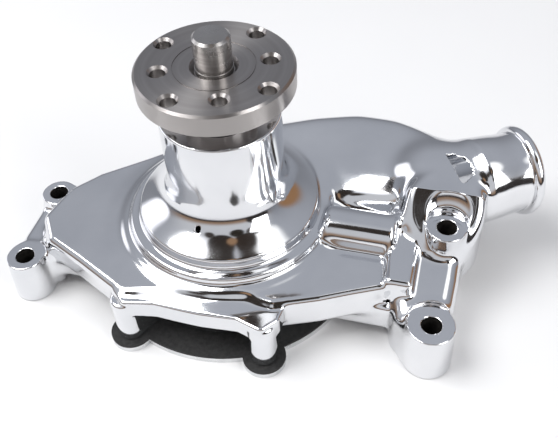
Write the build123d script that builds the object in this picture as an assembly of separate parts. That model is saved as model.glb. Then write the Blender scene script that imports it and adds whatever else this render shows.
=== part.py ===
"""Short water pump for an American V8, lying on its block face with the drive hub on top.

Millimetres. The origin is on the shaft axis at the block face, +Z runs along the shaft to the hub,
+X points from the shaft to the hose neck's side and +Y completes the right-handed frame.
"""
import os
from math import cos, radians, sin

from build123d import *

# ---- driving dimensions ---------------------------------------------------------------------
HUB_FACE = 142.9            # block face to hub face, 5 5/8 in
HUB_R, HUB_THICK = 40.6, 12.7
HUB_COLLAR_R, HUB_COLLAR_END = 19.0, 117.6
INNER_BOLT_R, OUTER_BOLT_R = 28.06, 33.84
BOLT_PHASE = 22.5           # degrees from +X to the first inner hole
HUB_HOLE_R, HUB_HOLE_CHAMFER = 3.97, 1.4
FACE_GROOVE_R, PILOT_RECESS_R = 20.8, 12.4
PILOT_R, PILOT_LENGTH = 9.525, 17.5     # 3/4 in
SHAFT_R = 9.8               # in the bearing and under the hub's press seat
SHAFT_TAIL_R, SHAFT_TAIL_TOP = 7.94, 58.0

BOLT_CENTRE_X, BOLT_HALF_SPAN = 5.5, 117.5
BOLT_NEAR_Y, BOLT_FAR_Y = -48.7, 0.0
BOLT_HOLE_R = 5.4           # clearance for a 3/8 in bolt
PORT_Y, PORT_INSET = -24.4, 11.0
PORT_SIZE = (16.0, 24.0)
BOSS_TAPER = 1.6

SNOUT_R, SNOUT_TOP = 32.4, 115.0
CHAMBER_CENTRE = (-2.0, -2.0)
WALL_R, CHAMBER_R, RIM_R = 63.0, 57.0, 69.0
WEEP_ANGLE, WEEP_R = -98.0, 1.6
CHAMBER_ROOF, RIM_LOW, DECK_TOP = 29.0, 26.0, 39.5
COVER_THICK, GASKET_THICK = 3.5, 1.5
COVER_R, COVER_BOLT_R, LOBE_R = 76.0, 77.5, 12.0
COVER_BOLT_ANGLES = (240, 300, 35, 90, 145)
FRONT_SCREWS = (240, 300)
SCREW_BOSS_R = 8.2
PORT_BOSS_R = 12.5
SCREW_R, SCREW_HEAD_R, SCREW_LENGTH = 3.1, 6.0, 12.7

NECK_POINT = (150.0, 52.0, 52.0)
NECK_ANGLE, NECK_TILT = 33.2, -2.3
NECK_R, NECK_BORE_R = 23.2, 19.4
NECK_START, BEAD_AT, NECK_END = -16.0, 8.5, 12.5
BEAD_R = 26.2
INLET_STATIONS = (          # centre, direction and radius of the horn's round sections
    ((2, 43, 38), (1, 0.20, 0.03), 26.0),
    ((30, 49, 39), (1, 0.16, 0.04), 30.5),
    ((60, 52, 40), (1, 0.02, 0.06), 33.5),
    ((88, 49, 43), (1, -0.22, 0.14), 32.0),
    ((112, 41, 48), (1, -0.10, 0.22), 27.0),
)
INLET_WALL = 5.0
CAP_OVERLAP = 0.5
LID_POINT, LID_NORMAL, LID_END_X = (50.0, 61.7, 60.8), (-0.065, -0.29, 1.0), 117.0
NECK_ROOT, NECK_ROOT_R = (110.0, 42.0, 48.0), 22.0

BEARING_R, BEARING_BOTTOM, BEARING_TOP = 19.05, 60.0, 113.0
RACE_BORE_R = 14.5
PITCH_R = 12.0
BALL_R, BALL_Z, BALL_COUNT = 3.55, 102.0, 8
ROLLER_PITCH_R = (SHAFT_R + RACE_BORE_R) / 2
RUNNING_GAP = 0.03
ROLLER_R = (RACE_BORE_R - SHAFT_R) / 2 - RUNNING_GAP
ROLLER_LENGTH, ROLLER_Z, ROLLER_COUNT = 12.0, 73.0, 10
CAGE_R, CAGE_BORE_R = 13.3, 10.9
POCKET_GAP = 0.12

IMPELLER_R, IMPELLER_BOTTOM, IMPELLER_DISC = 50.0, 7.5, 2.6
VANE_COUNT, VANE_TOP = 6, 26.0
SEAT_CUP_BOTTOM, SEAT_BOTTOM, SEAT_TOP = 28.2, 30.0, 36.0
CARBON_THICK = 5.0
SEAL_FLANGE_Z = 52.0
FACE_FILM = 0.05

FLANGE_Z = COVER_THICK + GASKET_THICK
BOLTS = {
    "left_far": (BOLT_CENTRE_X - BOLT_HALF_SPAN, BOLT_FAR_Y, 33.0),
    "left_near": (BOLT_CENTRE_X - BOLT_HALF_SPAN, BOLT_NEAR_Y, 28.0),
    "right_far": (BOLT_CENTRE_X + BOLT_HALF_SPAN, BOLT_FAR_Y, 55.0),
    "right_near": (BOLT_CENTRE_X + BOLT_HALF_SPAN, BOLT_NEAR_Y, 31.0),
}
BOSS_R = {"left_far": 11.0, "left_near": 11.5, "right_far": 11.2, "right_near": 13.0}
SEAT_R = {"left_far": 11.5, "left_near": 12.5, "right_far": 13.5, "right_near": 13.6}


# ---- small helpers --------------------------------------------------------------------------
def drum(radius, low, high, at=(0.0, 0.0)):
    """Upright cylinder between two heights."""
    return Pos(at[0], at[1], (low + high) / 2) * Cylinder(radius, high - low)


def tube(outer, inner, low, high):
    return drum(outer, low, high) - drum(inner, low - 1, high + 1)


def prism(outline, low, high):
    """Extrude a plan face between two heights."""
    return Pos(0, 0, low) * extrude(outline, high - low, dir=(0, 0, 1))


def polar(radius, angle, centre=(0.0, 0.0)):
    return centre[0] + radius * cos(radians(angle)), centre[1] + radius * sin(radians(angle))


def rounded_outline(points, radius):
    """Closed plan polygon with every corner rounded."""
    return fillet(Polygon(*points, align=None).vertices(), radius)


def grown_outline(points, by):
    """Closed plan polygon grown outwards, its corners rounded by the same amount."""
    return offset(Polygon(*points, align=None), by, kind=Kind.ARC)


def hull_outline(circles):
    """Plan outline stretched round (x, y, radius) circles."""
    edges = []
    for x, y, radius in circles:
        edges += (Pos(x, y) * Circle(radius)).edges()
    return make_face(make_hull(edges).edges())


def turned(points, arcs=()):
    """Revolve an (r, z) outline round the shaft axis; arcs maps a corner's index to its fillet."""
    profile = Plane.XZ * Polygon(*points, align=None)
    for (r, z), radius in arcs:
        corner = min(profile.vertices(), key=lambda v: abs(v.X - r) + abs(v.Z - z))
        profile = fillet(corner, radius)
    return revolve(profile, Axis.Z)


def ring_of(solid, count, phase=0.0):
    return [Rot(0, 0, phase + 360 * i / count) * solid for i in range(count)]


def cover_bolt_places():
    return [polar(COVER_BOLT_R, angle, CHAMBER_CENTRE) for angle in COVER_BOLT_ANGLES]


# ---- the cast housing -----------------------------------------------------------------------
def bowl_and_snout():
    """Bearing snout on its stepped bowl, over the round impeller chamber."""
    steps = [
        (0, 30), (66, 30), (66, 38), (60.5, 42), (57, 43), (57, 47), (51.5, 48.5),
        (51, 54), (48, 55.5), (SNOUT_R, 63.5), (SNOUT_R, SNOUT_TOP), (0, SNOUT_TOP),
    ]
    fillets = (
        ((SNOUT_R, 63.5), 9.0), ((SNOUT_R, SNOUT_TOP), 1.5), ((48, 55.5), 2.5), ((51, 54), 1.2),
        ((51.5, 48.5), 1.8), ((57, 47), 1.5), ((57, 43), 1.5), ((60.5, 42), 6.0),
    )
    rim = drum(RIM_R, RIM_LOW, DECK_TOP - 2.5, CHAMBER_CENTRE)
    rim = fillet(rim.faces().sort_by(Axis.Z)[-1].edges(), 5.0)
    return turned(steps, fillets) + rim + drum(WALL_R, FLANGE_Z, RIM_LOW + 2, CHAMBER_CENTRE)


def shelf(points, grow, low, high, edge):
    """Upright plate on an outline, its rim rounded over."""
    plate = prism(grown_outline(points, grow), low, high)
    return fillet(plate.faces().sort_by(Axis.Z)[-1].edges(), edge)


def deck():
    """Two hollow arms and the lip between them, drawn out to a corner over each front screw."""
    left = [(-40, -62), (-71, -46), (-92, -36), (-100, -24), (-96, -4), (-84, 11), (-55, 35),
            (-20, 58), (20, 40), (20, -50)]
    right = [(40, -56), (62, -47), (78, -39), (93, -32), (96, -26), (92, 0), (88, 20), (40, 44),
             (-10, 36), (-10, -50)]
    lip = [(-43, -66), (-38, -71), (-22, -68), (4, -69), (24, -68), (37, -72), (42, -66),
           (44, -40), (-44, -40)]
    body = shelf(left, 8.5, 20.0, DECK_TOP, 5.0) + shelf(right, 5.0, 18.0, DECK_TOP + 0.5, 4.0)
    body += shelf(lip, 4.0, 25.0, DECK_TOP - 2.5, 2.0)
    for side in (-1, 1):
        belly = [(44.5, -34), (103, -34), (103, 2), (44.5, 6)]
        belly = [(BOLT_CENTRE_X + side * x, y) for x, y in belly]
        body += prism(grown_outline(belly, 6.0), 8.0, 26.0)
    return body


def port_boss():
    """Boss for a heater port, lying along the right arm."""
    boss = Pos(78.5, -2, 42.5) * Rot(0, 90, 0) * Cylinder(PORT_BOSS_R, 41)
    return fillet(boss.edges(), 4.0)


def bolt_boss(name):
    x, y, top = BOLTS[name]
    low_r, high_r = BOSS_R[name] + BOSS_TAPER / 2, BOSS_R[name] - BOSS_TAPER / 2
    return Pos(x, y, top / 2) * Cone(low_r, high_r, top)


def left_foot():
    x, far, near = BOLTS["left_far"][0], BOLT_FAR_Y, BOLT_NEAR_Y
    foot = prism(hull_outline([(x, far, 11), (x, near, 11), (-99, -8, 9), (-99, -41, 9)]), 0, 20)
    web = [(-118, 0), (-118, -46), (-104, -44), (-104, -4)]
    web = prism(grown_outline(web, 3.5), 0.0, 28.0)
    return foot + web + bolt_boss("left_far") + bolt_boss("left_near")


def right_foot():
    """Broad block between the right bolts, its top falling towards the near one."""
    block = [(108, -40), (116, -48), (126, -46), (127, -20), (127, 0), (116, 8), (106, 6), (102, -20)]
    block = prism(grown_outline(block, 7.0), 0.0, 48.0)
    above = Plane.YZ * Polygon((-70, 60), (-70, 21), (-3, 48), (-3, 60), align=None)
    block -= Pos(80, 0, 0) * extrude(above, 80, dir=(1, 0, 0))
    ridge = [(99, -34), (95, -12), (92, 12), (89, 12), (92, -12), (95, -34)]
    ridge = prism(grown_outline(ridge, 3.0), 20.0, 45.0)
    return block + ridge + bolt_boss("right_far") + bolt_boss("right_near")


def pocket_wall():
    """Thick wall behind the tall right bolt seat, its top falling towards the front."""
    wall = drum(18.0, 20.0, 69.0, (BOLTS["right_far"][0] - 1, 5.0))
    above = Plane.YZ * Polygon((-20, 90), (-20, 44), (15.7, 69), (15.7, 90), align=None)
    return wall - Pos(80, 0, 0) * extrude(above, 80, dir=(1, 0, 0))


def neck_plane(distance):
    """Plane square to the hose neck, its +Z pointing out of the mouth."""
    out = Vector(
        cos(radians(NECK_ANGLE)) * cos(radians(NECK_TILT)),
        sin(radians(NECK_ANGLE)) * cos(radians(NECK_TILT)),
        sin(radians(NECK_TILT)),
    )
    return Plane(origin=Vector(*NECK_POINT) + out * distance, z_dir=out)


def neck_root(radius):
    """Round-nosed bar that carries the neck's barrel into the horn's flat lid."""
    start, finish = Vector(*NECK_ROOT), neck_plane(NECK_START).origin
    bar = Plane(origin=(start + finish) * 0.5, z_dir=finish - start) * Cylinder(
        radius, (finish - start).length)
    return bar + Pos(*NECK_ROOT) * Sphere(radius + CAP_OVERLAP)


def inlet(shrink=0.0):
    """Horn that carries water from the hose neck round behind the snout, under a sloping lid."""
    rings = []
    for centre, way, radius in INLET_STATIONS:
        sideways = Vector(*way).cross(Vector(0, 0, 1))
        rings.append(Plane(origin=centre, x_dir=sideways, z_dir=way) * Circle(radius - shrink))
    for distance, flare in ((NECK_START - 6, 0.8), (NECK_START, 0.0)):
        mouth = neck_plane(distance)
        sideways = mouth.z_dir.cross(Vector(0, 0, 1))
        section = Plane(origin=mouth.origin, x_dir=sideways, z_dir=mouth.z_dir)
        rings.append(section * Circle(NECK_R + flare - shrink))
    centre, _, radius = INLET_STATIONS[0]
    horn = loft(rings) + Pos(*centre) * Sphere(radius - shrink + CAP_OVERLAP)
    size = 400.0
    above_lid = Plane(origin=LID_POINT, z_dir=LID_NORMAL) * Pos(0, 0, size / 2 - shrink) * Box(size, size, size)
    above_lid &= Pos(LID_END_X - size / 2, 0, 0) * Box(size, size, size)
    return horn - above_lid + neck_root(NECK_ROOT_R - shrink)


def hose_neck():
    length = NECK_END - NECK_START
    barrel = neck_plane((NECK_START + NECK_END) / 2) * Cylinder(NECK_R, length)
    barrel = chamfer(barrel.edges().filter_by(GeomType.CIRCLE).sort_by(Axis.X)[-1], 1.0)
    bead = neck_plane(BEAD_AT) * Cylinder(BEAD_R, 6.4)
    bead = fillet(bead.edges().filter_by(GeomType.CIRCLE), 2.9)
    return barrel + bead


def housing_outside():
    body = bowl_and_snout() + deck() + port_boss() + left_foot() + right_foot() + pocket_wall()
    for angle in COVER_BOLT_ANGLES:
        outer = polar(COVER_BOLT_R, angle, CHAMBER_CENTRE)
        inner = polar(0.8 * COVER_BOLT_R, angle, CHAMBER_CENTRE)
        top = DECK_TOP - 4 if angle in FRONT_SCREWS else 18.0
        body += prism(hull_outline([(*outer, SCREW_BOSS_R), (*inner, SCREW_BOSS_R)]), FLANGE_Z, top)
    return body + inlet() + hose_neck()


def water_passages():
    """Impeller chamber, its eye, the inlet horn and the two delivery passages."""
    chamber = drum(CHAMBER_R, 0, CHAMBER_ROOF, CHAMBER_CENTRE)
    roof = drum(CHAMBER_R + 4, 0, CHAMBER_ROOF + 5, CHAMBER_CENTRE)
    eye = drum(30.0, CHAMBER_ROOF - 1, 36.0)
    gallery = drum(43.0, CHAMBER_ROOF + 5, 47.0)
    horn = inlet(INLET_WALL) + neck_plane(0) * Cylinder(NECK_BORE_R, 2 * (NECK_END + 8))
    water = chamber + eye + ((gallery + horn) - roof)
    passage = [(-46, -36), (-100, -36), (-100, -6), (-46, 4)]
    water += prism(rounded_outline(passage, 6.0), 12.0, 29.0)
    mirrored = [(2 * BOLT_CENTRE_X - x, y) for x, y in reversed(passage)]
    water += prism(rounded_outline(mirrored, 6.0), 12.0, 29.0)
    for x in (BOLTS["left_far"][0] + PORT_INSET, BOLTS["right_far"][0] - PORT_INSET):
        port = Pos(x, PORT_Y) * RectangleRounded(*PORT_SIZE, 7.0)
        water += prism(port, -1.0, 24.0)
    return water


def housing():
    """The one-piece casting: snout, bowl, arms, pads, inlet horn and hose neck."""
    body = housing_outside() - water_passages()
    body -= drum(BEARING_R, 57.0, SNOUT_TOP + 1)
    body -= drum(13.0, 50.0, 58.0)
    weep = Rot(0, 0, WEEP_ANGLE) * Pos(30, 0, 61.5) * Rot(0, 82, 0) * Cylinder(WEEP_R, 36)
    body -= weep
    body -= drum(18.0, 40.0, SEAL_FLANGE_Z)
    for name, (x, y, top) in BOLTS.items():
        body -= drum(SEAT_R[name], top, top + 60, (x, y))
        body -= drum(BOLT_HOLE_R, -1, top + 1, (x, y))
    for place in cover_bolt_places():
        body -= drum(SCREW_R - 0.3, FLANGE_Z - 1, 14.0, place)
    return body


# ---- rear cover -----------------------------------------------------------------------------
def cover_outline():
    plate = Pos(*CHAMBER_CENTRE) * Circle(COVER_R)
    for place in cover_bolt_places():
        plate += Pos(*place) * Circle(LOBE_R)
    return plate


def rear_cover():
    plate = prism(cover_outline(), 0, COVER_THICK)
    for x, y in cover_bolt_places():
        plate -= drum(SCREW_R + 0.2, -1, COVER_THICK + 1, (x, y))
        plate -= Pos(x, y, 1.5) * Cone(SCREW_HEAD_R + 0.15, SCREW_R + 0.15, 3.0)
    return plate


def cover_gasket():
    sheet = prism(cover_outline(), COVER_THICK, FLANGE_Z)
    sheet -= drum(CHAMBER_R, 0, 10, CHAMBER_CENTRE)
    for place in cover_bolt_places():
        sheet -= drum(SCREW_R + 0.3, 0, 10, place)
    return sheet


def cover_screws():
    shank = drum(SCREW_R - 0.35, 2.9, SCREW_LENGTH)
    head = Pos(0, 0, 1.5) * Cone(SCREW_HEAD_R, SCREW_R, 3.0)
    screw = head + shank - Pos(0, 0, 0.5) * Box(2 * SCREW_HEAD_R + 1, 1.5, 1.6)
    return [Pos(x, y, 0) * screw for x, y in cover_bolt_places()]


# ---- shaft, hub and impeller ----------------------------------------------------------------
def pump_shaft():
    tip = HUB_FACE + PILOT_LENGTH
    body = drum(SHAFT_R, SHAFT_TAIL_TOP, HUB_FACE) + drum(PILOT_R, HUB_FACE - 1, tip)
    body += drum(SHAFT_TAIL_R, IMPELLER_BOTTOM, SHAFT_TAIL_TOP + 1)
    body = chamfer(body.edges().filter_by(GeomType.CIRCLE).sort_by(Axis.Z)[-1], 1.2)
    groove = Pos(0, 0, BALL_Z) * Torus(PITCH_R, BALL_R + RUNNING_GAP)
    return body - groove


def drive_hub():
    low = HUB_FACE - HUB_THICK
    hub = drum(HUB_R, low, HUB_FACE)
    hub = chamfer(hub.edges().filter_by(GeomType.CIRCLE), 1.2)
    hub += drum(HUB_COLLAR_R, HUB_COLLAR_END, low + 1)
    hub -= drum(SHAFT_R, 100, 150)
    hub -= Pos(0, 0, HUB_FACE - 1.5) * Cone(SHAFT_R + 0.4, PILOT_RECESS_R, 3.02)
    hub -= tube(FACE_GROOVE_R + 0.3, FACE_GROOVE_R - 0.3, HUB_FACE - 0.4, HUB_FACE + 1)
    countersink = Pos(0, 0, HUB_FACE - HUB_HOLE_CHAMFER / 2 + 0.01) * Cone(
        HUB_HOLE_R, HUB_HOLE_R + HUB_HOLE_CHAMFER, HUB_HOLE_CHAMFER)
    tapped = drum(HUB_HOLE_R, low - 1, HUB_FACE + 1) + countersink
    for radius, phase in ((INNER_BOLT_R, BOLT_PHASE), (OUTER_BOLT_R, BOLT_PHASE + 45)):
        for i in range(4):
            x, y = polar(radius, phase + 90 * i)
            hub -= Pos(x, y, 0) * tapped
    return hub


def impeller():
    """Back disc with curved vanes on the eye side, on a hub pressed on the shaft's tail."""
    disc = tube(IMPELLER_R, SHAFT_TAIL_R, IMPELLER_BOTTOM, IMPELLER_BOTTOM + IMPELLER_DISC)
    boss = tube(16.0, SHAFT_TAIL_R, IMPELLER_BOTTOM, SEAT_CUP_BOTTOM)
    wheel = disc + boss
    sweep_r = 38.0
    blade = tube(sweep_r + 1.5, sweep_r - 1.5, IMPELLER_BOTTOM + 1, VANE_TOP)
    blade = Pos(14.0, sweep_r - 3.0, 0) * blade
    keep = tube(IMPELLER_R - 1, 13.5, 0, 40) & (Pos(40, 15, 15) * Box(80, 62, 40))
    for vane in ring_of(blade & keep, VANE_COUNT):
        wheel += vane
    relief = [polar(24.0, 60 * i + 30) for i in range(3)]
    for place in relief:
        wheel -= drum(2.5, 0, IMPELLER_BOTTOM + IMPELLER_DISC + 0.5, place)
    return wheel


def slinger():
    """Thin collar on the shaft that throws stray water out through the weep hole."""
    return tube(11.6, SHAFT_TAIL_R, 54.2, 55.8)


# ---- bearing --------------------------------------------------------------------------------
def bearing_outer_race():
    race = tube(BEARING_R, RACE_BORE_R, BEARING_BOTTOM, BEARING_TOP)
    return race - Pos(0, 0, BALL_Z) * Torus(PITCH_R, BALL_R + RUNNING_GAP)


def bearing_balls():
    return ring_of(Pos(PITCH_R, 0, BALL_Z) * Sphere(BALL_R), BALL_COUNT)


def ball_cage():
    cage = tube(CAGE_R, CAGE_BORE_R, BALL_Z - 1.6, BALL_Z + 4.6)
    for pocket in ring_of(Pos(PITCH_R, 0, BALL_Z) * Sphere(BALL_R + POCKET_GAP), BALL_COUNT):
        cage -= pocket
    return cage


def bearing_rollers():
    roller = Pos(ROLLER_PITCH_R, 0, ROLLER_Z) * Cylinder(ROLLER_R, ROLLER_LENGTH)
    return ring_of(chamfer(roller.edges(), 0.3), ROLLER_COUNT)


def roller_cage():
    half = ROLLER_LENGTH / 2
    cage = tube(CAGE_R, CAGE_BORE_R, ROLLER_Z - half - 2.5, ROLLER_Z + half + 2.5)
    slot = Pos(ROLLER_PITCH_R, 0, ROLLER_Z) * Cylinder(ROLLER_R + POCKET_GAP, ROLLER_LENGTH + 0.3)
    for pocket in ring_of(slot, ROLLER_COUNT):
        cage -= pocket
    return cage


def lip_seal(low, high):
    """Rubber bearing seal pressed in the race, its lip just clear of the shaft."""
    return tube(RACE_BORE_R, SHAFT_R + 0.08, low, high)


# ---- water seal -----------------------------------------------------------------------------
def seal_case():
    """Pressed brass cup, flanged on the housing's counterbore."""
    wall = tube(18.0, 17.2, 43.0, SEAL_FLANGE_Z)
    floor = tube(17.3, 9.0, SEAL_FLANGE_Z - 0.8, SEAL_FLANGE_Z)
    return wall + floor


def seal_carbon_ring():
    low = SEAT_TOP + FACE_FILM
    nose = tube(12.4, 9.2, low, low + CARBON_THICK)
    return nose + tube(13.6, 9.2, low + 1.6, low + CARBON_THICK)


def seal_ferrule():
    low = SEAT_TOP + FACE_FILM + CARBON_THICK
    return tube(15.4, 14.2, low - 2.0, low + 0.6) + tube(15.4, 9.4, low, low + 0.6)


def seal_bellows():
    low = SEAT_TOP + FACE_FILM + CARBON_THICK + 0.6
    high = SEAL_FLANGE_Z - 0.8
    waist = (low + high) / 2
    profile = Plane.XZ * Polygon(
        (9.4, low), (10.8, low), (13.2, waist), (10.8, high), (9.4, high), (11.8, waist), align=None)
    return revolve(profile, Axis.Z)


def seal_spring():
    """Coil spring between the ferrule and the case."""
    low = SEAT_TOP + FACE_FILM + CARBON_THICK + 0.6
    high = SEAL_FLANGE_Z - 0.8
    wire = 0.75
    path = Helix(pitch=(high - low - 2 * wire) / 3, height=high - low - 2 * wire, radius=14.9)
    start = path.position_at(0)
    section = Plane(origin=start, z_dir=path.tangent_at(0)) * Circle(wire - 0.02)
    return Pos(0, 0, low + wire) * sweep(section, path=path)


def seat_grommet():
    cup = tube(15.6, 9.6, SEAT_CUP_BOTTOM, SEAT_TOP - 1.2)
    return cup - tube(14.2, 8.0, SEAT_BOTTOM, SEAT_TOP)


def ceramic_seat():
    return tube(14.2, 9.6, SEAT_BOTTOM, SEAT_TOP)


PARTS = {
    "housing": housing,
    "rear_cover": rear_cover,
    "cover_gasket": cover_gasket,
    "cover_screws": cover_screws,
    "drive_hub": drive_hub,
    "pump_shaft": pump_shaft,
    "impeller": impeller,
    "slinger": slinger,
    "bearing_outer_race": bearing_outer_race,
    "bearing_balls": bearing_balls,
    "ball_cage": ball_cage,
    "bearing_rollers": bearing_rollers,
    "roller_cage": roller_cage,
    "front_bearing_seal": lambda: lip_seal(109.5, 112.0),
    "rear_bearing_seal": lambda: lip_seal(61.0, 63.5),
    "seal_case": seal_case,
    "seal_bellows": seal_bellows,
    "seal_spring": seal_spring,
    "seal_ferrule": seal_ferrule,
    "seal_carbon_ring": seal_carbon_ring,
    "ceramic_seat": ceramic_seat,
    "seat_grommet": seat_grommet,
}


def main():
    os.makedirs("parts", exist_ok=True)
    for node, make in PARTS.items():
        shape = make()
        if isinstance(shape, list):
            shape = Compound(children=shape)
        export_step(shape, f"parts/{node}.step")


main()
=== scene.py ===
import math

import bpy
import numpy as np
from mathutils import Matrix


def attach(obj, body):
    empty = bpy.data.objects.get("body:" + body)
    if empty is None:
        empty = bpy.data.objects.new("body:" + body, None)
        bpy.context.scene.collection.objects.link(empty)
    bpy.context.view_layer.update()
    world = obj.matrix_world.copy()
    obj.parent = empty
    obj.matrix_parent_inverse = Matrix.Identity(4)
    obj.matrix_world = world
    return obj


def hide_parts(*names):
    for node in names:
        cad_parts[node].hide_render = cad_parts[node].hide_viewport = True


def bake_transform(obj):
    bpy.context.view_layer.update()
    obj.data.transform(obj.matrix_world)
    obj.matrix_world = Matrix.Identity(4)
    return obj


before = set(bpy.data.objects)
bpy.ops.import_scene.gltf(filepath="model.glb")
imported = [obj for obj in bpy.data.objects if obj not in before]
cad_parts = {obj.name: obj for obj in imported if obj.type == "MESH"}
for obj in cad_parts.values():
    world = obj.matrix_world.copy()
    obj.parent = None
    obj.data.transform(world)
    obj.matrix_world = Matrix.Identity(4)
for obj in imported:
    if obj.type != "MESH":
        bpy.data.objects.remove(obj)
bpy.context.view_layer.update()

import openvdb
from mathutils import Matrix, Vector

MM = 0.001


# ---- distance fields of simple solids, in millimetres ---------------------------------------
def smooth_join(a, b, k):
    h = np.maximum(k - np.abs(a - b), 0.0) / k
    return np.minimum(a, b) - h * h * h * k / 6.0


def smooth_cut(a, b, k):
    """a with b taken away."""
    return -smooth_join(-a, b, k)


def rounded_slab(across, along, r):
    """Where two distances meet, with the outside edge rounded by r."""
    a, b = across + r, along + r
    return np.minimum(np.maximum(a, b), 0.0) + np.hypot(np.maximum(a, 0), np.maximum(b, 0)) - r


def column(p, x, y, radius, low, high, edge=0.8, draft=0.0):
    """Upright round column; draft widens its foot."""
    reach = np.hypot(p[0] - x, p[1] - y)
    side = reach - radius - draft * (high - p[2]) / (high - low)
    return rounded_slab(side, np.abs(p[2] - (low + high) / 2) - (high - low) / 2, edge)


def outline(u, v, corners):
    """Signed distance to a closed polygon in the plane."""
    corners = np.asarray(corners, dtype=np.float32)
    best = np.full(np.broadcast(u, v).shape, 1e9, dtype=np.float32)
    inside = np.zeros(best.shape, dtype=bool)
    for (ax, ay), (bx, by) in zip(corners, np.roll(corners, -1, axis=0)):
        ex, ey = bx - ax, by - ay
        wx, wy = u - ax, v - ay
        t = np.clip((wx * ex + wy * ey) / (ex * ex + ey * ey), 0, 1)
        best = np.minimum(best, (wx - t * ex) ** 2 + (wy - t * ey) ** 2)
        if ay != by:
            crosses = (ay > v) != (by > v)
            inside ^= crosses & (u < ex * (v - ay) / ey + ax)
    best = np.sqrt(best)
    return np.where(inside, -best, best)


def plate(p, corners, low, high, corner=8.0, edge=3.0):
    """Upright plate on a polygon with rounded plan corners; low and high may slope."""
    side = outline(p[0], p[1], corners) - corner
    middle, half = (low + high) / 2, (high - low) / 2
    return rounded_slab(side, np.abs(p[2] - middle) - half, edge)


def round_ended_slab(p, a, b, radius, low, high, edge=1.5):
    """Upright slab with round ends from one plan point to another."""
    ex, ey = b[0] - a[0], b[1] - a[1]
    t = np.clip(((p[0] - a[0]) * ex + (p[1] - a[1]) * ey) / (ex * ex + ey * ey), 0, 1)
    side = np.hypot(p[0] - a[0] - t * ex, p[1] - a[1] - t * ey) - radius
    return rounded_slab(side, np.abs(p[2] - (low + high) / 2) - (high - low) / 2, edge)


def stepped(p, corners, corner=1.0):
    """Solid turned round the shaft axis from an (r, z) polygon."""
    return outline(np.hypot(p[0], p[1]), p[2], corners) - corner


def limb(p, a, ra, b, rb):
    """Two balls and the cone that wraps them."""
    a, b = np.asarray(a, dtype=float), np.asarray(b, dtype=float)
    along = b - a
    length = np.linalg.norm(along)
    along = along / length
    q = [p[i] - a[i] for i in range(3)]
    s = sum(q[i] * along[i] for i in range(3))
    t = np.sqrt(np.maximum(sum(q[i] ** 2 for i in range(3)) - s * s, 0))
    sine = (ra - rb) / length
    cosine = math.sqrt(1 - sine * sine)
    k = s * cosine - t * sine
    cone = t * cosine + s * sine - ra
    start = np.sqrt(s * s + t * t) - ra
    finish = np.sqrt((s - length) ** 2 + t * t) - rb
    return np.where(k < 0, start, np.where(k > length * cosine, finish, cone))


def barrel(p, a, way, radius, start, end, edge=0.8):
    """Round bar along a direction from a point."""
    q = [p[i] - a[i] for i in range(3)]
    s = sum(q[i] * way[i] for i in range(3))
    t = np.sqrt(np.maximum(sum(q[i] ** 2 for i in range(3)) - s * s, 0))
    return rounded_slab(t - radius, np.abs(s - (start + end) / 2) - (end - start) / 2, edge)


# ---- the casting's outside ------------------------------------------------------------------
def heading(turn, tip):
    """Unit vector at a turn round +Z from +X and a tip above the level, in degrees."""
    turn, tip = math.radians(turn), math.radians(tip)
    return math.cos(turn) * math.cos(tip), math.sin(turn) * math.cos(tip), math.sin(tip)


SNOUT_R, SNOUT_TOP = 31.4, 114.0        # before the 1 mm that rounds the corner
BEARING_R, BEARING_FLOOR = 19.05, 57.0
DRUM_CENTRE, DRUM_R, CHAMBER_R, EYE_R = (-1, -1), 62.0, 56.0, 30.0
RIM_CENTRE, RIM_R, RIM_TOP = (-2, -2), 69.0, 37.0
GASKET_TOP, CHAMBER_ROOF, HORN_FLOOR = 5.0, 29.0, 34.0
LEFT_TOP, RIGHT_TOP = 39.5, 40.0
PORT_BOSS_AT, PORT_BOSS_R = (60, -2, 42.5), 12.5

BOLTS = ((-112.0, 0.0, 33.0), (-112.0, -48.7, 28.0), (123.0, 0.0, 55.0), (123.0, -48.7, 31.0))
BOLT_HOLE_R, BOSS_R, SEAT_R = 5.4, (10.2, 10.7, 10.6, 12.6), (11.5, 12.5, 11.4, 13.6)
BLOCK_MIDDLE_X = 5.5
SCREW_CIRCLE_R, SCREW_BOSS_R = 77.5, 7.4
SCREWS = [(RIM_CENTRE[0] + SCREW_CIRCLE_R * math.cos(math.radians(a)),
           RIM_CENTRE[1] + SCREW_CIRCLE_R * math.sin(math.radians(a))) for a in (240, 300, 35, 90, 145)]
FRONT_SCREWS, FRONT_BOSS_TOP, BACK_BOSS_TOP = 2, 34.0, 18.0

NECK_AT, NECK_WAY = (150.0, 52.0, 52.0), heading(33.2, -2.3)
NECK_R, NECK_BORE_R, NECK_END = 23.2, 19.4, 12.5
BEAD_R, BEAD_FROM, BEAD_TO = 26.2, 5.3, 11.7
INLET_WALL = 5.5
LID_RISE, LID_LENGTH = 0.29, 1.04       # the lid's slope, and the run along it for each mm across
WEEP_AT, WEEP_WAY, WEEP_R = (-4.2, -29.7, 61.5), heading(-98.0, 8.0), 1.6


def bowl(p):
    """Bearing snout on three rounded steps."""
    snout = stepped(p, [(0, 20), (SNOUT_R, 20), (SNOUT_R, SNOUT_TOP), (0, SNOUT_TOP)], 1.0)
    shoulder = stepped(p, [(0, 20), (49.0, 20), (49.0, 53.0), (30, 64.5), (0, 64.5)], 1.8)
    middle = stepped(p, [(0, 20), (55.6, 20), (55.6, 45.6), (0, 49.0)], 1.8)
    foot = stepped(p, [(0, 15), (59.5, 15), (59.5, 38.5), (0, 44.0)], 3.5)
    d = smooth_join(middle, foot, 6.0)
    d = smooth_join(d, shoulder, 5.0)
    return smooth_join(d, snout, 16.0)


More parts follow.
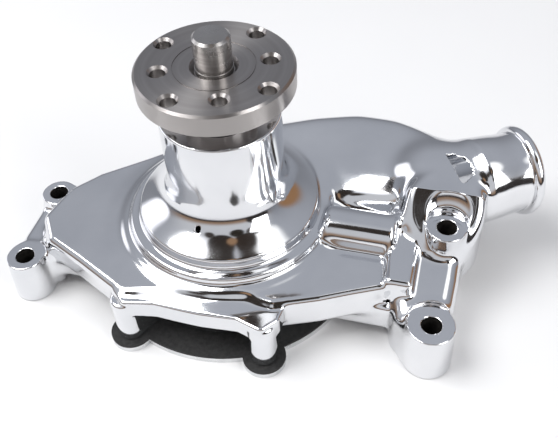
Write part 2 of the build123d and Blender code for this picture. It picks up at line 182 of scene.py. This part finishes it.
def drum_wall(p):
    """Wall round the impeller, set back under its rim."""
    wall = column(p, *DRUM_CENTRE, DRUM_R, GASKET_TOP, RIM_TOP - 3.0, 3.0)
    rim = column(p, *RIM_CENTRE, RIM_R, RIM_TOP - 11.0, RIM_TOP, 4.0)
    return smooth_join(wall, rim, 4.0)


def deck(p):
    """The shelf from arm to arm, drawn out to a corner over each front screw."""
    left = [(-40, -62), (-71, -46), (-92, -36), (-100, -24), (-96, -4), (-84, 11), (-55, 35),
            (-20, 58), (20, 40), (20, -50)]
    right = [(40, -56), (62, -47), (78, -39), (93, -32), (96, -26), (92, 0), (88, 20), (40, 44),
             (-10, 36), (-10, -50)]
    lip = [(-43, -66), (-38, -71), (-22, -68), (4, -69), (24, -68), (37, -72), (42, -66), (44, -40),
           (-44, -40)]
    left = plate(p, left, 20.0, LEFT_TOP, 8.5, 5.0)
    d = smooth_join(left, plate(p, right, 18.0, RIGHT_TOP, 5.0, 4.0), 6.0)
    d = smooth_join(d, plate(p, lip, RIM_TOP - 12.0, RIM_TOP, 4.0, 1.5), 4.0)
    left_belly = plate(p, [(-50, -36), (-98, -36), (-98, 2), (-50, 6)], 8.0, 34.0, 7.0, 3.0)
    right_belly = plate(p, [(45, -34), (108, -34), (108, 2), (45, 6)], 8.0, 26.0, 6.0, 3.0)
    return smooth_join(smooth_join(d, left_belly, 5.0), right_belly, 5.0)


def port_boss(p):
    """Boss for a heater port, lying along the right arm."""
    return barrel(p, PORT_BOSS_AT, (1, 0, 0), PORT_BOSS_R, -4, 37, 4.0)


def bolt_boss(p, which, draft, extra=0.0):
    """Upright boss under one block bolt's seat."""
    x, y, top = BOLTS[which]
    return column(p, x, y, BOSS_R[which], 0, top + extra, 0.8, draft)


def left_foot(p):
    """Two bolt bosses and the web between them."""
    d = smooth_join(bolt_boss(p, 0, 1.2), bolt_boss(p, 1, 1.2), 3.0)
    web = plate(p, [(-116, 0), (-116, -44), (-100, -40), (-100, -4)], 0.0, 27.0, 5.0, 5.0)
    return smooth_join(d, web, 7.0)


def right_foot(p):
    """Broad block between the right bolts, with a ridge along the arm's end."""
    crest = np.clip(43.0 + 0.36 * (p[1] + 8), 30.0, 46.0)
    block = plate(p, [(110, -40), (116, -46), (124, -46), (125, -20), (125, 0), (116, 6), (108, 4),
                      (104, -20)], -9.0, crest, 9.0, 8.5)
    d = smooth_join(block, bolt_boss(p, 2, 0.8), 5.0)
    d = smooth_join(d, bolt_boss(p, 3, 0.8, extra=5.0), 6.0)
    crest = np.clip(47.0 + 0.12 * p[1], 42.0, 49.0)
    ridge = [(107, -32), (107, -8), (108, 12), (94, 12), (96, -12), (98, -32)]
    ridge = plate(p, ridge, 20.0, crest, 3.0, 3.5)
    return smooth_join(d, ridge, 5.0)


def pocket_wall(p):
    """Thick wall behind the tall right bolt seat, its top falling towards the front."""
    top = np.clip(54.0 + 0.9 * p[1], 45.0, 67.0)
    return column(p, 120, 10, 22.0, 20.0, top, 6.0)


TABLE_STEP, TABLE_BLUR = 0.5, 40        # mm between entries; entries each way in the softening


def smooth_table(knots, spread=8.0):
    """Evenly spaced table through (x, value) knots, softened over spread millimetres."""
    knots = np.asarray(knots, dtype=float)
    xs = np.arange(-60.0, 180.0, TABLE_STEP)
    values = np.interp(xs, knots[:, 0], knots[:, 1])
    bell = np.exp(-0.5 * (np.arange(-TABLE_BLUR, TABLE_BLUR + 1) * TABLE_STEP / spread) ** 2)
    return xs, np.convolve(np.pad(values, TABLE_BLUR, mode="edge"), bell / bell.sum(), mode="valid")


# the inlet horn's centre and radius along X
DOME_Y = smooth_table([(-26, 36), (4, 42.5), (34, 49), (60, 52.5), (84, 50.5), (104, 44), (122, 38)])
DOME_Z = smooth_table([(-26, 38), (4, 38), (34, 38.5), (60, 39.5), (86, 43), (104, 47), (122, 50)])
DOME_R = smooth_table([(-24, 0), (-20, 13), (-10, 21.5), (4, 27), (34, 31.5), (60, 33.6), (84, 32.2),
                       (100, 29.0), (112, 25.0), (120, 19), (127, 0)], 3.0)


def dome(p, inset=0.0):
    """Inlet horn: round sections that change along X, under a lid that rises towards the back."""
    x = np.asarray(p[0])
    radius, middle_y, middle_z = (np.interp(x, *table) for table in (DOME_R, DOME_Y, DOME_Z))
    slope = np.clip(np.interp(x, DOME_R[0], np.gradient(DOME_R[1], TABLE_STEP)), -3, 3)
    body = (np.hypot(p[1] - middle_y, p[2] - middle_z) - radius) / np.sqrt(1 + slope * slope)
    body = np.maximum(body, np.maximum(-25 - x, x - 127.5)) + inset
    back_y, back_z = middle_y + 0.72 * radius, middle_z + 0.70 * radius + 2.0
    lid = (p[2] - back_z - LID_RISE * (p[1] - back_y)) / LID_LENGTH + inset
    return smooth_cut(body, -lid, 16.0)


def neck(p):
    """Hose neck with its bead, carried into the horn by a tapered root."""
    root = [NECK_AT[i] - 15 * NECK_WAY[i] for i in range(3)]
    d = barrel(p, NECK_AT, NECK_WAY, NECK_R, -20, NECK_END, 1.2)
    d = smooth_join(d, limb(p, (110, 42, 48), 22.0, root, NECK_R), 8.0)
    bead = barrel(p, NECK_AT, NECK_WAY, BEAD_R, BEAD_FROM, BEAD_TO, 3.1)
    return smooth_join(d, bead, 1.5)


def outside(p):
    """Everything that was poured, before the hollows are taken out."""
    d = smooth_join(bowl(p), drum_wall(p), 8.0)
    d = smooth_join(d, deck(p), 9.0)
    d = smooth_join(d, port_boss(p), 6.0)
    horn = smooth_join(dome(p), neck(p), 14.0)
    d = smooth_join(d, smooth_join(horn, pocket_wall(p), 14.0), 12.0)
    for i, (x, y) in enumerate(SCREWS):
        top = FRONT_BOSS_TOP if i < FRONT_SCREWS else BACK_BOSS_TOP
        d = smooth_join(d, column(p, x, y, SCREW_BOSS_R, GASKET_TOP, top, 1.5), 2.5)
        web = round_ended_slab(p, (x, y), (0.78 * x, 0.78 * y), SCREW_BOSS_R - 0.4, GASKET_TOP, top)
        d = smooth_join(d, web, 3.0)
    d = smooth_join(d, left_foot(p), 8.0)
    return smooth_join(d, right_foot(p), 5.0)


def inside(p):
    """Impeller chamber with its eye, the inlet's bore, and the two delivery passages."""
    water = column(p, *DRUM_CENTRE, CHAMBER_R, -5, CHAMBER_ROOF, 1.0)
    water = np.minimum(water, column(p, 0, 0, EYE_R, 20, 40.0, 1.0))
    bore = barrel(p, NECK_AT, NECK_WAY, NECK_BORE_R, -36, 30, 1.0)
    horn = smooth_join(dome(p, INLET_WALL), bore, 3.0)
    water = np.minimum(water, np.maximum(horn, HORN_FLOOR - p[2]))
    for side in (-1, 1):
        passage = ((55, -32), (104, -32), (104, -10), (55, -2))
        passage = [(BLOCK_MIDDLE_X + side * x, y) for x, y in passage]
        water = np.minimum(water, plate(p, passage, 12.0, CHAMBER_ROOF, 4.0, 1.0))
        port = ((104, -30), (109, -30), (109, -18), (104, -18))
        port = [(BLOCK_MIDDLE_X + side * x, y) for x, y in port]
        water = np.minimum(water, plate(p, port, -5.0, 24.0, 6.0, 1.0))
    return water


def casting(p):
    """The housing as machined: bored, spot-faced, drilled and cut flat underneath."""
    d = smooth_cut(outside(p), inside(p), 0.6)
    d = smooth_cut(d, column(p, 0, 0, BEARING_R, BEARING_FLOOR, 130, 0.5), 0.6)
    for (x, y, top), seat in zip(BOLTS, SEAT_R):
        d = smooth_cut(d, column(p, x, y, seat, top, top + 60, 0.4), 1.0)
    x, y, top = BOLTS[2]                # its pocket opens like a bowl
    spot = np.sqrt((p[0] - x) ** 2 + (p[1] - y + 4) ** 2 + (p[2] - top - 17) ** 2) - 20.0
    d = smooth_cut(d, np.maximum(spot, top - p[2]), 1.5)
    for x, y, top in BOLTS:
        d = smooth_cut(d, column(p, x, y, BOLT_HOLE_R, -5, top + 5, 0.2), 0.8)
    d = smooth_cut(d, barrel(p, WEEP_AT, WEEP_WAY, WEEP_R, -16, 18, 0.1), 0.6)
    near_cover = np.hypot(p[0] - RIM_CENTRE[0], p[1] - RIM_CENTRE[1]) < 90
    floor = np.where(near_cover, GASKET_TOP, 0.0)
    return np.maximum(d, floor - p[2])


# ---- from a distance field to a mesh --------------------------------------------------------
def skin(field, low, high, step, name):
    """Mesh where the field is zero, with each point and normal taken from the field itself."""
    blocks = 6
    low, high = np.asarray(low, float), np.asarray(high, float)
    count = np.ceil((high - low) / (step * blocks)).astype(int)
    size = step * blocks
    centre = [low[i] + size * (np.arange(count[i]) + 0.5) for i in range(3)]
    grid = np.meshgrid(*centre, indexing="ij")
    rough = field([g.astype(np.float32).ravel() for g in grid]).reshape(count)
    near = np.argwhere(np.abs(rough) < size * 0.87 + 2.5)
    values = np.repeat(np.repeat(np.repeat(rough, blocks, 0), blocks, 1), blocks, 2)
    local = np.indices((blocks,) * 3).reshape(3, -1).T
    for chunk in np.array_split(near, max(1, len(near) // 4000)):
        cells = (chunk[:, None, :] * blocks + local[None]).reshape(-1, 3)
        at = [(low[i] + step * (cells[:, i] + 0.5)).astype(np.float32) for i in range(3)]
        values[cells[:, 0], cells[:, 1], cells[:, 2]] = field(at)
    volume = openvdb.FloatGrid(3 * step)
    volume.copyFromArray(np.clip(values, -3 * step, 3 * step).astype(np.float32))
    points, quads = volume.convertToQuads(isovalue=0.0)
    points = low + step * (points.astype(np.float64) + 0.5)

    def slope_at(q, h=0.35):
        out = []
        for i in range(3):
            shift = np.zeros(3)
            shift[i] = h
            out.append(field(list((q + shift).T)) - field(list((q - shift).T)))
        out = np.stack(out, 1)
        return out / np.maximum(np.linalg.norm(out, axis=1, keepdims=True), 1e-9)

    for _ in range(2):
        away = field(list(points.T))
        points -= slope_at(points) * np.clip(away, -step, step)[:, None]
    normals = slope_at(points)
    mesh = bpy.data.meshes.new(name)
    mesh.vertices.add(len(points))
    mesh.vertices.foreach_set("co", (points * MM).astype(np.float32).ravel())
    mesh.loops.add(quads.size)
    mesh.loops.foreach_set("vertex_index", quads.astype(np.int32).ravel())
    mesh.polygons.add(len(quads))
    mesh.polygons.foreach_set("loop_start", (np.arange(len(quads)) * 4).astype(np.int32))
    mesh.update(calc_edges=True)
    mesh.polygons.foreach_set("use_smooth", np.ones(len(quads), dtype=bool))
    mesh.normals_split_custom_set_from_vertices(normals)
    piece = bpy.data.objects.new(name, mesh)
    bpy.context.scene.collection.objects.link(piece)
    return piece


# ---- materials ------------------------------------------------------------------------------
class Look:
    """A node material under construction."""

    def __init__(self, name):
        self.mat = bpy.data.materials.new(name)
        self.mat.use_nodes = True
        self.tree = self.mat.node_tree
        self.shader = self.tree.nodes["Principled BSDF"]

    def node(self, kind, **inputs):
        made = self.tree.nodes.new(kind)
        for key, value in inputs.items():
            made.inputs[key].default_value = value
        return made

    def link(self, source, target):
        self.tree.links.new(source, target)

    def set(self, **values):
        for key, value in values.items():
            self.shader.inputs[key.replace("_", " ")].default_value = value
        return self

    def place(self, scale=(1, 1, 1)):
        where = self.node("ShaderNodeTexCoord")
        mapping = self.node("ShaderNodeMapping")
        mapping.inputs["Scale"].default_value = scale
        self.link(where.outputs["Object"], mapping.inputs["Vector"])
        return mapping.outputs["Vector"]

    def noise(self, scale, detail=3.0, where=None):
        made = self.node("ShaderNodeTexNoise", Scale=scale, Detail=detail)
        self.link(where or self.place(), made.inputs["Vector"])
        return made.outputs["Fac"]

    def ramp(self, source, stops):
        made = self.node("ShaderNodeValToRGB")
        ramp = made.color_ramp
        while len(ramp.elements) < len(stops):
            ramp.elements.new(0.5)
        for element, (at, colour) in zip(ramp.elements, stops):
            element.position = at
            element.color = (*colour, 1) if len(colour) == 3 else colour
        self.link(source, made.inputs["Fac"])
        return made.outputs["Color"]

    def between(self, source, low, high):
        made = self.node("ShaderNodeMapRange")
        made.inputs["To Min"].default_value = low
        made.inputs["To Max"].default_value = high
        self.link(source, made.inputs["Value"])
        return made.outputs["Result"]

    def bump(self, source, distance, strength=1.0):
        made = self.node("ShaderNodeBump", Strength=strength, Distance=distance)
        self.link(source, made.inputs["Height"])
        self.link(made.outputs["Normal"], self.shader.inputs["Normal"])


def chrome():
    """Bright plating over a polished casting, with faint waves and a little haze."""
    look = Look("chrome_plate").set(Metallic=1.0)
    tint = look.ramp(look.noise(22.0, 4.0), [(0.3, (0.70, 0.71, 0.73)), (0.7, (0.80, 0.805, 0.82))])
    look.link(tint, look.shader.inputs["Base Color"])
    look.link(look.between(look.noise(60.0, 5.0), 0.05, 0.13), look.shader.inputs["Roughness"])
    look.bump(look.noise(140.0, 2.0), 0.00006, 0.35)
    return look.mat


def turned_steel():
    """Lathe-finished steel: fine concentric cuts that stretch each highlight into a fan."""
    look = Look("turned_steel").set(Metallic=1.0, Roughness=0.30, Anisotropic=0.85,
                                   Anisotropic_Rotation=0.25)
    where = look.place()
    split = look.node("ShaderNodeSeparateXYZ")
    look.link(where, split.inputs[0])
    flat = look.node("ShaderNodeCombineXYZ")
    look.link(split.outputs["X"], flat.inputs["X"])
    look.link(split.outputs["Y"], flat.inputs["Y"])
    reach = look.node("ShaderNodeVectorMath")
    reach.operation = "LENGTH"
    look.link(flat.outputs[0], reach.inputs[0])
    cuts = look.node("ShaderNodeCombineXYZ")
    look.link(reach.outputs["Value"], cuts.inputs["X"])
    grooves = look.noise(2600.0, 2.0, cuts.outputs[0])
    broad = look.noise(320.0, 2.0, cuts.outputs[0])
    tint = look.ramp(broad, [(0.3, (0.34, 0.32, 0.31)), (0.7, (0.40, 0.38, 0.37))])
    look.link(tint, look.shader.inputs["Base Color"])
    look.bump(grooves, 0.00002, 0.5)
    tangent = look.node("ShaderNodeTangent")
    tangent.direction_type = "RADIAL"
    tangent.axis = "Z"
    look.link(tangent.outputs[0], look.shader.inputs["Tangent"])
    return look.mat


def ground_steel(name="ground_steel", pale=0.5, rough=0.28):
    """Ground steel with fine bands along Z."""
    look = Look(name).set(Metallic=1.0)
    bands = look.noise(900.0, 3.0, look.place((0.05, 0.05, 1.0)))
    dark = (pale * 0.72, pale * 0.69, pale * 0.67)
    tint = look.ramp(bands, [(0.3, dark), (0.7, (pale, pale * 0.98, pale * 0.96))])
    look.link(tint, look.shader.inputs["Base Color"])
    look.link(look.between(look.noise(150.0), rough - 0.08, rough + 0.10), look.shader.inputs["Roughness"])
    look.bump(bands, 0.00002, 0.5)
    return look.mat


def grained(name, dark, pale, metallic, rough, scale, depth):
    """Mottled colour, roughness and a fine grain."""
    look = Look(name).set(Metallic=metallic)
    tint = look.ramp(look.noise(scale, 4.0), [(0.3, dark), (0.7, pale)])
    look.link(tint, look.shader.inputs["Base Color"])
    look.link(look.between(look.noise(scale * 2.3), rough - 0.07, rough + 0.07),
              look.shader.inputs["Roughness"])
    look.bump(look.noise(scale * 9.0, 2.0), depth, 0.6)
    return look.mat


LOOKS = {
    "drive_hub": turned_steel(),
    "pump_shaft": ground_steel(),
    "rear_cover": grained("zinc_plate", (0.62, 0.63, 0.64), (0.78, 0.78, 0.79), 1.0, 0.26, 90.0, 0.00004),
    "cover_gasket": grained("gasket_fibre", (0.008, 0.008, 0.008), (0.022, 0.022, 0.022), 0.0, 0.80,
                            500.0, 0.00008),
    "cover_screws": ground_steel("screw_steel", 0.60, 0.34),
    "impeller": grained("cast_iron", (0.09, 0.085, 0.08), (0.19, 0.18, 0.17), 0.7, 0.62, 260.0, 0.00025),
    "slinger": grained("stamped_brass", (0.52, 0.38, 0.14), (0.70, 0.54, 0.25), 1.0, 0.30, 120.0, 0.00003),
    "bearing_outer_race": ground_steel("race_steel", 0.66, 0.20),
    "bearing_balls": ground_steel("ball_steel", 0.72, 0.12),
    "bearing_rollers": ground_steel("roller_steel", 0.70, 0.16),
    "ball_cage": grained("cage_nylon", (0.66, 0.60, 0.44), (0.78, 0.72, 0.56), 0.0, 0.45, 160.0, 0.00005),
    "front_bearing_seal": grained("seal_rubber", (0.012, 0.012, 0.012), (0.035, 0.035, 0.035), 0.0, 0.62,
                                  300.0, 0.00005),
    "seal_case": grained("pressed_brass", (0.56, 0.41, 0.17), (0.74, 0.58, 0.28), 1.0, 0.26, 110.0, 0.00003),
    "seal_spring": ground_steel("spring_steel", 0.50, 0.30),
    "seal_carbon_ring": grained("carbon", (0.015, 0.015, 0.017), (0.04, 0.04, 0.043), 0.0, 0.35, 400.0,
                                0.00002),
    "ceramic_seat": grained("ceramic", (0.76, 0.74, 0.68), (0.86, 0.84, 0.79), 0.0, 0.22, 200.0, 0.00001),
}
LOOKS["roller_cage"] = LOOKS["ball_cage"]
LOOKS["rear_bearing_seal"] = LOOKS["front_bearing_seal"]
LOOKS["seal_bellows"] = LOOKS["front_bearing_seal"]
LOOKS["seat_grommet"] = LOOKS["front_bearing_seal"]
LOOKS["seal_ferrule"] = LOOKS["seal_case"]
for node, look in LOOKS.items():
    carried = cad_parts[node]
    carried.data.materials.clear()
    carried.data.materials.append(look)

for node in ("seal_spring", "seal_bellows"):
    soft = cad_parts[node].copy()
    soft.data = soft.data.copy()
    soft.parent = None
    soft.name = soft.data.name = node + "_flexing"
    bpy.context.scene.collection.objects.link(soft)
    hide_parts(node)
    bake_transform(soft)


def paint_shade_in_bolt_holes(mesh, slot=1):
    """Give the faces inside the block bolts' holes the material in a slot: bare unplated iron, darkened to
    near black as painted shade down the bores.
    """
    slots = np.zeros(len(mesh.polygons), dtype=np.int32)
    middles = np.empty(3 * len(slots), dtype=np.float32)
    mesh.polygons.foreach_get("center", middles)
    middles = middles.reshape(-1, 3) / MM
    for x, y, top in BOLTS:
        drilled = np.hypot(middles[:, 0] - x, middles[:, 1] - y) < BOLT_HOLE_R + 0.3
        slots[drilled & (middles[:, 2] < top - 1.2) & (middles[:, 2] > 1.0)] = slot
    mesh.polygons.foreach_set("material_index", slots)


mesh_step = 0.8      # mm
housing = skin(casting, (-128, -82, -3), (172, 90, 118), mesh_step, "casting")
housing.data.materials.append(chrome())
# bolt-hole material: the bores are really bare iron, but the near-black tone is painted shade inside the
# holes
housing.data.materials.append(grained("bore_iron_painted_shade", (0.015, 0.014, 0.013), (0.05, 0.045, 0.04), 0.6, 0.55,
                                      300.0, 0.0001))
paint_shade_in_bolt_holes(housing.data)
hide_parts("housing")
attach(housing, "casing")


# ---- floor, light and camera ----------------------------------------------------------------
def mesh_piece(name, points, faces, material):
    mesh = bpy.data.meshes.new(name)
    mesh.from_pydata(points, [], faces)
    mesh.materials.append(material)
    made = bpy.data.objects.new(name, mesh)
    bpy.context.scene.collection.objects.link(made)
    return made


def floor():
    """Pale floor, and a pale wall far behind it that reflections don't see."""
    look = Look("floor_paper").set(Roughness=0.7)
    tint = look.ramp(look.noise(3.0), [(0.3, (0.75, 0.75, 0.75)), (0.7, (0.78, 0.78, 0.78))])
    look.link(tint, look.shader.inputs["Base Color"])
    far = 6.0
    made = mesh_piece("floor", [(-far, -far, 0), (far, -far, 0), (far, far, 0), (-far, far, 0)],
                      [(0, 1, 2, 3)], look.mat)
    reach, high, count = 5.8, 5.0, 64
    ring = [(reach * math.cos(2 * math.pi * i / count), reach * math.sin(2 * math.pi * i / count))
            for i in range(count)]
    points = [(x, y, 0) for x, y in ring] + [(x, y, high) for x, y in ring]
    faces = [(i, (i + 1) % count, count + (i + 1) % count, count + i) for i in range(count)]
    wall = mesh_piece("backdrop", points, faces, look.mat)
    wall.visible_glossy = wall.visible_diffuse = wall.visible_shadow = False


def surroundings():
    """A pale studio: light walls, a dim back, dark flags near the lens and a few bright panels."""
    world = bpy.data.worlds.new("studio")
    bpy.context.scene.world = world
    world.use_nodes = True
    tree = world.node_tree
    tree.nodes.clear()
    coords = tree.nodes.new("ShaderNodeTexCoord")
    way = coords.outputs["Generated"]

    def blend(amount, a, b):
        node = tree.nodes.new("ShaderNodeMix")
        node.data_type = "RGBA"
        tree.links.new(amount, node.inputs["Factor"])
        for socket, value in ((node.inputs[6], a), (node.inputs[7], b)):
            if isinstance(value, tuple):
                socket.default_value = (*value, 1)
            else:
                tree.links.new(value, socket)
        return node.outputs[2]

    def step(value, low, high):
        node = tree.nodes.new("ShaderNodeMapRange")
        node.interpolation_type = "SMOOTHSTEP"
        tree.links.new(value, node.inputs["Value"])
        node.inputs["From Min"].default_value = low
        node.inputs["From Max"].default_value = high
        return node.outputs["Result"]

    def panel(colour, centre, reach, soft, shade):
        """Round patch of another shade; reach and soft in degrees."""
        centre = Vector(centre).normalized()
        node = tree.nodes.new("ShaderNodeVectorMath")
        node.operation = "DOT_PRODUCT"
        tree.links.new(way, node.inputs[0])
        node.inputs[1].default_value = centre
        edge = math.cos(math.radians(reach + soft)), math.cos(math.radians(reach))
        return blend(step(node.outputs["Value"], *edge), colour, shade)

    split = tree.nodes.new("ShaderNodeSeparateXYZ")
    tree.links.new(way, split.inputs["Vector"])
    height, depth = split.outputs["Z"], split.outputs["Y"]
    front = blend(step(height, 0.03, 0.16), (0.05, 0.04, 0.04), (0.34, 0.23, 0.16))
    front = blend(step(height, 0.16, 0.42), front, (0.66, 0.67, 0.70))
    back = blend(step(height, 0.0, 0.9), (0.26, 0.27, 0.30), (0.45, 0.47, 0.52))
    colour = blend(step(depth, -0.62, 0.10), front, back)
    for item in PANELS:
        colour = panel(colour, *item)
    background = tree.nodes.new("ShaderNodeBackground")
    tree.links.new(colour, background.inputs["Color"])
    output = tree.nodes.new("ShaderNodeOutputWorld")
    tree.links.new(background.outputs[0], output.inputs["Surface"])


# each panel: the way to it, its reach and soft edge in degrees, its colour
PANELS = (
    ((-0.45, -0.30, 0.84), 10, 10, (1.6, 1.6, 1.65)),
    ((0.50, -0.10, 0.86), 9, 9, (1.6, 1.6, 1.6)),
    ((-0.028, -0.499, 0.866), 11, 3, (0.035, 0.028, 0.024)),
    ((0.333, -0.372, 0.866), 9, 3, (0.04, 0.03, 0.025)),
    ((0.145, -0.479, 0.866), 3, 3, (0.36, 0.22, 0.13)),
    ((0.313, -0.620, 0.72), 7, 3, (0.03, 0.025, 0.02)),
    ((-0.229, -0.656, 0.72), 4, 3, (0.05, 0.04, 0.035)),
    ((0.568, -0.400, 0.72), 7, 3, (0.04, 0.03, 0.025)),
    ((0.87, -0.47, 0.16), 16, 5, (0.035, 0.03, 0.03)),
    ((-0.92, 0.15, 0.30), 10, 8, (1.8, 1.8, 1.9)),
    ((0.78, 0.55, 0.06), 16, 12, (0.34, 0.19, 0.10)),
)


LAMP_TARGET = Vector((0.02, 0.0, 0.06))


def soft_box(name, at, size, power):
    """Rectangular lamp aimed at the object."""
    data = bpy.data.lights.new(name, "AREA")
    data.shape = "RECTANGLE"
    data.size, data.size_y = size
    data.energy = power
    lamp = bpy.data.objects.new(name, data)
    lamp.location = at
    lamp.rotation_mode = "QUATERNION"
    lamp.rotation_quaternion = (LAMP_TARGET - Vector(at)).to_track_quat("-Z", "Y")
    bpy.context.scene.collection.objects.link(lamp)


def camera():
    """Long view from the front, half above, with a slight roll."""
    data = bpy.data.cameras.new("camera")
    data.sensor_width = 36.0
    data.lens = 51.417
    data.clip_start, data.clip_end = 0.01, 50.0
    cam = bpy.data.objects.new("camera", data)
    turn, rise, roll = math.radians(16.782), math.radians(46.155), math.radians(-3.257)
    back = Vector((math.sin(turn) * math.cos(rise), -math.cos(turn) * math.cos(rise), math.sin(rise)))
    right = (-back).cross(Vector((0, 0, 1))).normalized()
    up = right.cross(-back)
    across = math.cos(roll) * right + math.sin(roll) * up
    upward = -math.sin(roll) * right + math.cos(roll) * up
    frame_axes = Matrix((across, upward, back)).transposed().to_4x4()
    cam.matrix_world = Matrix.Translation((0.12060, -0.30449, 0.37125)) @ frame_axes
    bpy.context.scene.collection.objects.link(cam)
    bpy.context.scene.camera = cam


bpy.context.scene.view_settings.view_transform = "Standard"
floor()
surroundings()
soft_box("key", (-0.6, -0.2, 1.2), (0.8, 0.8), 14)
soft_box("fill", (1.1, -0.5, 0.8), (0.6, 0.9), 8)
camera()
